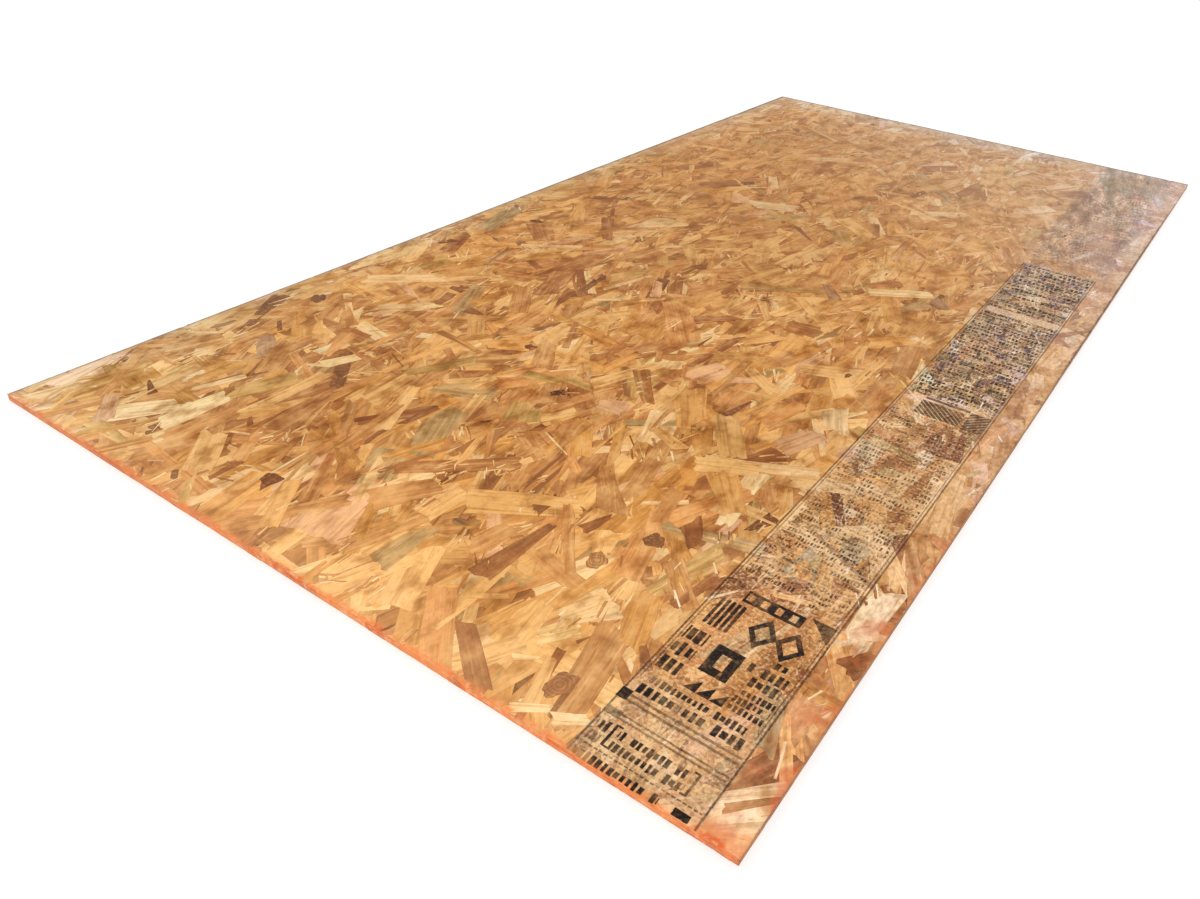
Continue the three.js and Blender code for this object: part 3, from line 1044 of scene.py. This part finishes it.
def edge_wafers(outward, run, setback_from, long, short):
    """Plies along one sawn edge. Those near the faces and those in the core are cut differently."""
    outward = np.array(outward, float)
    along = np.cross((0, 0, 1), outward)
    pitch = (thickness - 1.7) / PLIES
    made = []
    for ply in range(PLIES):
        level = 0.85 + (ply + 0.5) * pitch
        in_core = PLIES * 0.3 <= ply < PLIES * 0.7
        mean = short if in_core else long
        end = -run / 2 - draw.uniform(0, mean)
        while end < run / 2:
            length = mean * draw.lognormal(0, 0.35)
            start, end = end, end + length * 0.92
            low, high = max(start, -run / 2), min(start + length, run / 2)
            if high - low < 4:
                continue
            reach = setback_from - draw.uniform(0.02, PLY_SETBACK)
            middle = along * (low + high) / 2 + outward * reach
            middle[2] = level + draw.uniform(-0.12, 0.12)
            outline = lens_outline(high - low, pitch * 1.35)
            wood = str(draw.choice(WOOD_NAMES, p=WOOD_SHARES / WOOD_SHARES.sum()))
            made.append(Wafer(middle, along, (0, 0, 1), outline, wood))
    return made


for name, outward, run, reach, long, short, cover, bare in (
    ("near", (0, -1, 0), 2 * half_x, half_y, 24, 90, 1.6, "#cb8f6a"),
    ("right", (1, 0, 0), 2 * half_y, half_x, 95, 26, 0.4, "#94755e"),
    ("far", (0, 1, 0), 2 * half_x, half_y, 24, 90, 0.6, "#87705a"),
    ("left", (-1, 0, 0), 2 * half_y, half_x, 95, 26, 0.5, "#87705a"),
):
    edge_wood = wafer_wood(f"{name}_edge_wood", sealed(cover, bare))
    plies = edge_wafers(outward, run - 1, reach, long, short)
    add_wafers(f"edge_wafers_{name}", plies, edge_wood, thick=1.6, rim=0.2, roll=0.12)

# ---- Floor, light and camera ------------------------------------------------------------------
# The panel lies on a plain white floor under an even sky, with one soft lamp from the near left.

SKY = 0.55
LAMP_SLOPE = math.radians(38)
LAMP_TURN = math.radians(25)
LAMP_SPREAD = math.radians(25)
FLOOR_REACH = 30.0              # metres
FLOOR_GLOW = 0.15               # what a white floor lacks to be as bright as the sky
EYE = 0.772, -1.6887, 0.7653    # metres
EYE_TURN = 55.648, -3.222, 34.723   # degrees

scene = bpy.context.scene
scene.view_settings.view_transform = "Standard"


def background_rays(start):
    """1 for the rays that show the background: seen as it is, mirrored or through glass."""
    names = "Is Camera Ray", "Is Glossy Ray", "Is Transmission Ray"
    return overlaid(start.node("LightPath", {}, {}, name) for name in names)


floor_paint, floor_shader, floor_start = bare_material("floor_paint")
floor_shader.inputs["Base Color"].default_value = (0.9, 0.9, 0.9, 1)
floor_shader.inputs["Roughness"].default_value = 1.0
floor_shader.inputs["Specular IOR Level"].default_value = 0.0
floor_shader.inputs["Emission Strength"].default_value = FLOOR_GLOW
plug(floor_shader, Emission_Color=background_rays(floor_start))
floor_mesh = bpy.data.meshes.new("floor")
signs = (-1, -1), (1, -1), (1, 1), (-1, 1)
corners = [(x * FLOOR_REACH, y * FLOOR_REACH, 0) for x, y in signs]
floor_mesh.from_pydata(corners, [], [(0, 1, 2, 3)])
floor_mesh.materials.append(floor_paint)
floor = bpy.data.objects.new("floor", floor_mesh)
scene.collection.objects.link(floor)

world = bpy.data.worlds.new("sky")
scene.world = world
world.use_nodes = True
background = world.node_tree.nodes["Background"]
background.inputs["Color"].default_value = (1, 1, 1, 1)
plug(background, Strength=SKY + background_rays(Wire(world.node_tree)) * (1 - SKY))

lamp_data = bpy.data.lights.new("soft_lamp", "SUN")
lamp_data.energy = (1 - SKY) * math.pi / math.cos(LAMP_SLOPE)
lamp_data.angle = LAMP_SPREAD
lamp = bpy.data.objects.new("soft_lamp", lamp_data)
lamp.rotation_euler = (LAMP_SLOPE, 0, LAMP_TURN)
scene.collection.objects.link(lamp)

camera_data = bpy.data.cameras.new("camera")
camera_data.sensor_width = 36.0
camera_data.lens = 28.32
camera_data.shift_x = -0.0294
camera_data.clip_start = 0.01
camera = bpy.data.objects.new("camera", camera_data)
eye_turn = mathutils.Euler([math.radians(angle) for angle in EYE_TURN])
camera.matrix_world = mathutils.Matrix.LocRotScale(mathutils.Vector(EYE), eye_turn, None)
scene.collection.objects.link(camera)
scene.camera = camera
